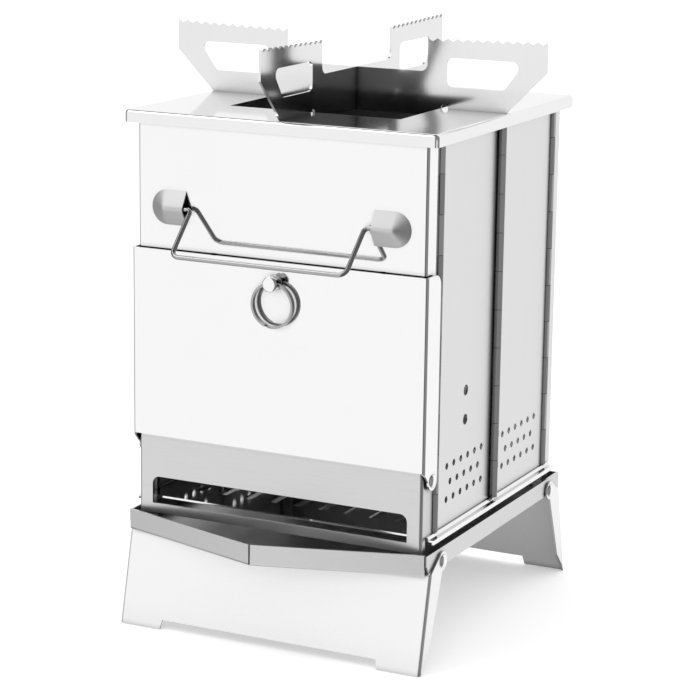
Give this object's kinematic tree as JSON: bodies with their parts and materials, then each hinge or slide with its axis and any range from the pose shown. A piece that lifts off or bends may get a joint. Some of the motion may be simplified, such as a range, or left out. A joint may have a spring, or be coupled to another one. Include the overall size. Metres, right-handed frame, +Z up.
{
  "type": "folding campfire grill",
  "caption": "Folding sheet-steel wood stove: hinged fire box with feed door and bail on a tray with folding legs, under a top plate with a cross-shaped pot support.",
  "frame": {"origin": "on the ground, under the centre of the whole object's footprint box; the stove body's own centre line is 5 mm behind it", "axes": "+Z up; the feed door, the bail and the tray's pointed lip face -Y; +X is to the right of someone who faces the door"},
  "size_m": [0.2564, 0.2662, 0.3703],
  "materials": {
    "polished_sheet": "polished stainless sheet",
    "brushed_sheet": "fine brushed stainless sheet",
    "plain_sheet": "plain mill-finish stainless sheet",
    "bright_wire": "bright stainless wire",
    "rivet_steel": "dull stainless rivets and pins"
  },
  "bodies": {
    "base": {"base_tray": "plain_sheet", "front_leg_rivets": "rivet_steel", "rear_leg_rivets": "rivet_steel"},
    "front_leg": {"front_leg": "brushed_sheet"},
    "rear_leg": {"rear_leg": "brushed_sheet"},
    "fire_grate": {"fire_grate": "plain_sheet"},
    "back_panel": {"back_panel": "polished_sheet", "right_rear_hinge_pin": "rivet_steel", "left_rear_hinge_pin": "rivet_steel"},
    "right_rear_leaf": {"right_rear_leaf": "brushed_sheet", "right_middle_hinge_pin": "rivet_steel"},
    "right_front_leaf": {"right_front_leaf": "brushed_sheet"},
    "front_panel": {"front_panel": "polished_sheet", "right_front_hinge_pin": "rivet_steel", "left_front_hinge_pin": "rivet_steel", "right_bail_clip": "polished_sheet", "left_bail_clip": "polished_sheet", "door_rivets": "rivet_steel"},
    "left_rear_leaf": {"left_rear_leaf": "brushed_sheet", "left_middle_hinge_pin": "rivet_steel"},
    "left_front_leaf": {"left_front_leaf": "brushed_sheet"},
    "feed_door": {"feed_door": "polished_sheet", "ring_stud": "rivet_steel"},
    "pull_ring": {"pull_ring": "bright_wire"},
    "carry_bail": {"carry_bail": "bright_wire"},
    "top_plate": {"top_plate": "brushed_sheet"},
    "pot_support_front_back": {"pot_support_front_back": "brushed_sheet"},
    "pot_support_left_right": {"pot_support_left_right": "brushed_sheet"}
  },
  "joints": [
    {"name": "front_leg_fold", "type": "hinge", "parent": "base", "child": "front_leg", "pos_m": [0, -0.08, 0.064], "axis": [1, 0, 0], "range_deg": [0, 102]},
    {"name": "rear_leg_fold", "type": "hinge", "parent": "base", "child": "rear_leg", "pos_m": [0, 0.093, 0.064], "axis": [-1, 0, 0], "range_deg": [0, 102]},
    {"name": "grate_lift", "type": "slide", "parent": "base", "child": "fire_grate", "axis": [0, 0, 1], "range_m": [0, 0.06]},
    {"name": "body_lift", "type": "slide", "parent": "fire_grate", "child": "back_panel", "axis": [0, 0, 1], "range_m": [0, 0.2]},
    {"name": "side_fold", "type": "hinge", "parent": "back_panel", "child": "right_rear_leaf", "pos_m": [0.09705, 0.0935, 0.2], "axis": [0, 0, -1], "range_deg": [0, 86]},
    {"name": "right_middle_fold", "type": "hinge", "parent": "right_rear_leaf", "child": "right_front_leaf", "pos_m": [0.0992, 0.007, 0.2], "axis": [0, 0, 1], "range_deg": [0, 172]},
    {"name": "right_front_fold", "type": "hinge", "parent": "right_front_leaf", "child": "front_panel", "pos_m": [0.09705, -0.0795, 0.2], "axis": [0, 0, -1], "range_deg": [0, 86]},
    {"name": "left_rear_fold", "type": "hinge", "parent": "back_panel", "child": "left_rear_leaf", "pos_m": [-0.09705, 0.0935, 0.2], "axis": [0, 0, 1], "range_deg": [0, 86]},
    {"name": "left_middle_fold", "type": "hinge", "parent": "left_rear_leaf", "child": "left_front_leaf", "pos_m": [-0.0992, 0.007, 0.2], "axis": [0, 0, -1], "range_deg": [0, 172]},
    {"name": "top_plate_lift", "type": "slide", "parent": "back_panel", "child": "top_plate", "axis": [0, 0, 1], "range_m": [0, 0.06]},
    {"name": "lower_support_lift", "type": "slide", "parent": "top_plate", "child": "pot_support_front_back", "axis": [0, 0, 1], "range_m": [0, 0.06]},
    {"name": "upper_support_lift", "type": "slide", "parent": "top_plate", "child": "pot_support_left_right", "axis": [0, 0, 1], "range_m": [0, 0.12]},
    {"name": "door_swing", "type": "hinge", "parent": "front_panel", "child": "feed_door", "pos_m": [0, -0.0886, 0.1158], "axis": [1, 0, 0], "range_deg": [0, 77]},
    {"name": "ring_swing", "type": "hinge", "parent": "feed_door", "child": "pull_ring", "pos_m": [0, -0.1051, 0.2287], "axis": [-1, 0, 0], "range_deg": [0, 105]},
    {"name": "bail_swing", "type": "hinge", "parent": "front_panel", "child": "carry_bail", "pos_m": [0, -0.101, 0.2672], "axis": [-1, 0, 0], "range_deg": [-21, 130]}
  ],
  "couplings": [
    {"joint": "right_middle_fold", "follows": "side_fold", "ratio": 2},
    {"joint": "right_front_fold", "follows": "side_fold", "ratio": 1},
    {"joint": "left_rear_fold", "follows": "side_fold", "ratio": 1},
    {"joint": "left_middle_fold", "follows": "side_fold", "ratio": 2},
    {"joint": "grate_lift", "follows": "side_fold", "m_per_rad": 0.0399},
    {"joint": "body_lift", "follows": "side_fold", "m_per_rad": 0.133},
    {"joint": "top_plate_lift", "follows": "side_fold", "m_per_rad": 0.0399},
    {"joint": "upper_support_lift", "follows": "lower_support_lift", "ratio": 2}
  ]
}
